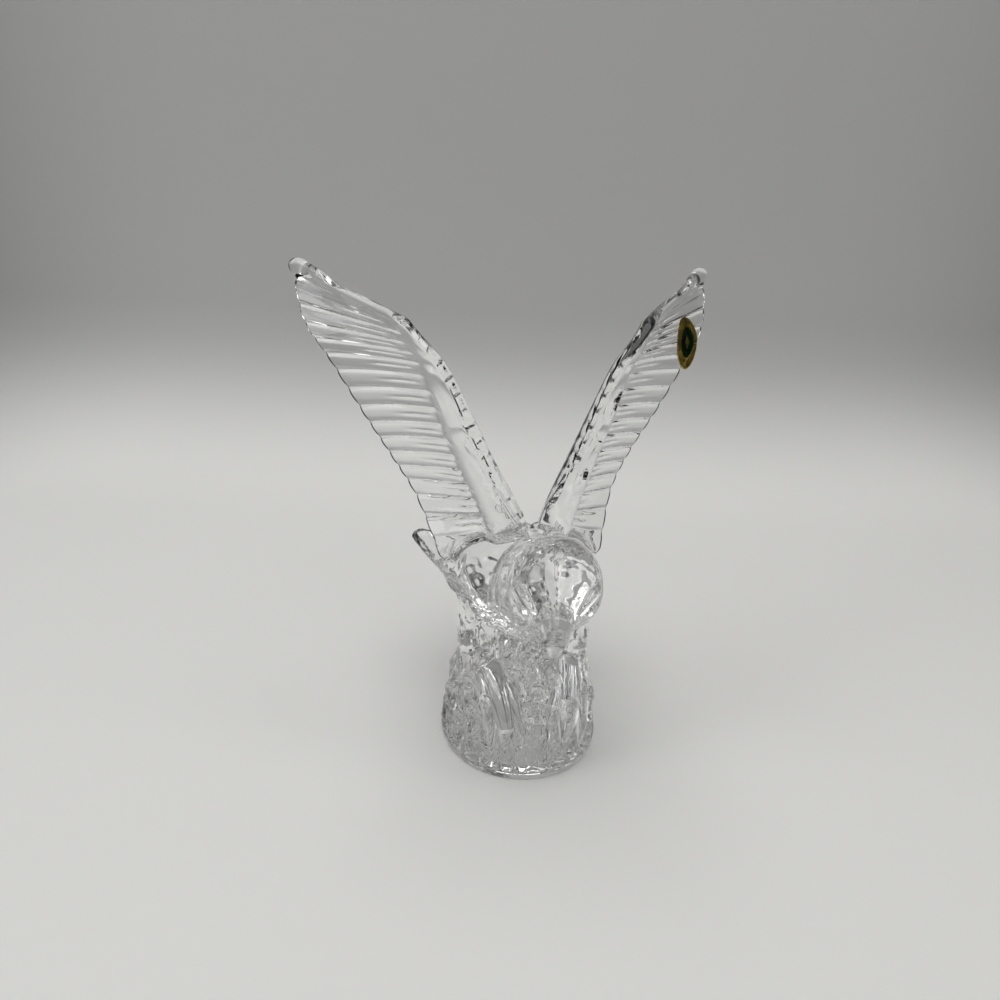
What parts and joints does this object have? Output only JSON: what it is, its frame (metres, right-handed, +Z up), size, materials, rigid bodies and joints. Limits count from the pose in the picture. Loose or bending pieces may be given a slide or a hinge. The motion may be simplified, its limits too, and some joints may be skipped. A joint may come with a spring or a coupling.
{
  "type": "crystal eagle figurine",
  "caption": "Clear crystal eagle with raised wings, leaning forward on a rough crystal rock, with a small oval foil seal near a wing edge.",
  "frame": {"origin": "centre of the flat underside, on the surface the figurine stands on", "axes": "+Z up, the eagle's beak faces -Y, its left wing is at +X"},
  "size_m": [0.186, 0.1552, 0.1941],
  "materials": {
    "clear_crystal": "cut and polished lead crystal",
    "gold_foil": "embossed gold and green foil"
  },
  "bodies": {
    "root": {"crystal_eagle": "clear_crystal", "foil_seal": "gold_foil"}
  },
  "joints": []
}
